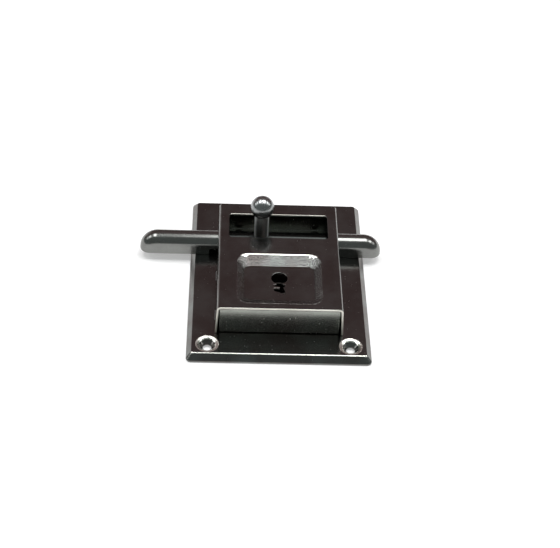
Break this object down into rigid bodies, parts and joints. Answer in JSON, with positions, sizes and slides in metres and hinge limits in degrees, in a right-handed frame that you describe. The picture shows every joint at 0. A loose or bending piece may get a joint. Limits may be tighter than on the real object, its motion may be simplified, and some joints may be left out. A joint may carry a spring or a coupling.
{
  "type": "slide bolt",
  "caption": "Surface slide bolt with a pressed back plate, a folded cover with a dished warded keyhole, a round-backed bolt that slides out at both sides and a ball knob.",
  "frame": {"origin": "centre of the back plate on the face that lies against the door", "axes": "+Z away from the door, X along the bolt with +X to the right, +Y from the front screw holes to the rear"},
  "size_m": [0.1254, 0.12, 0.0381],
  "materials": {
    "plate_steel": "bright plated pressed steel",
    "cover_steel": "bright plated folded steel",
    "wall_steel": "bright plated bent steel",
    "bolt_steel": "bright plated drawn steel",
    "knob_steel": "bright plated turned steel",
    "lock_steel": "blanked steel, plain",
    "spring_steel": "tempered strip",
    "rivet_steel": "turned steel, headed cold"
  },
  "bodies": {
    "frame": {"back_plate": "plate_steel", "case_cover": "cover_steel", "front_wall": "wall_steel", "rear_wall": "wall_steel", "front_wall_rivet_left": "rivet_steel", "front_wall_rivet_right": "rivet_steel", "rear_wall_rivet_left": "rivet_steel", "rear_wall_rivet_right": "rivet_steel", "dog_pin_left": "rivet_steel", "dog_pin_right": "rivet_steel", "catch_pin": "rivet_steel", "catch_spring": "spring_steel", "catch_spring_post": "rivet_steel", "bolt_spring": "spring_steel", "ward_plate": "lock_steel", "ward_post_left": "rivet_steel", "ward_post_right": "rivet_steel", "keyhole_bush": "lock_steel"},
    "bolt_bar": {"bolt": "bolt_steel", "knob": "knob_steel"},
    "dog_slide_body": {"dog": "lock_steel"},
    "catch": {"catch_lever": "lock_steel"}
  },
  "joints": [
    {"name": "bolt_slide", "type": "slide", "parent": "frame", "child": "bolt_bar", "axis": [1, 0, 0], "range_m": [-0.0129, 0.0303]},
    {"name": "dog_slide", "type": "slide", "parent": "frame", "child": "dog_slide_body", "axis": [0, 1, 0], "range_m": [0, 0.0022]},
    {"name": "catch_swing", "type": "hinge", "parent": "frame", "child": "catch", "pos_m": [-0.0228, -0.017, 0.0057], "axis": [0, 0, 1], "range_deg": [0, 4.2], "deforming": ["catch_spring"]}
  ],
  "couplings": [
    {"joint": "catch_swing", "follows": "dog_slide", "rad_per_m": 33.32}
  ]
}
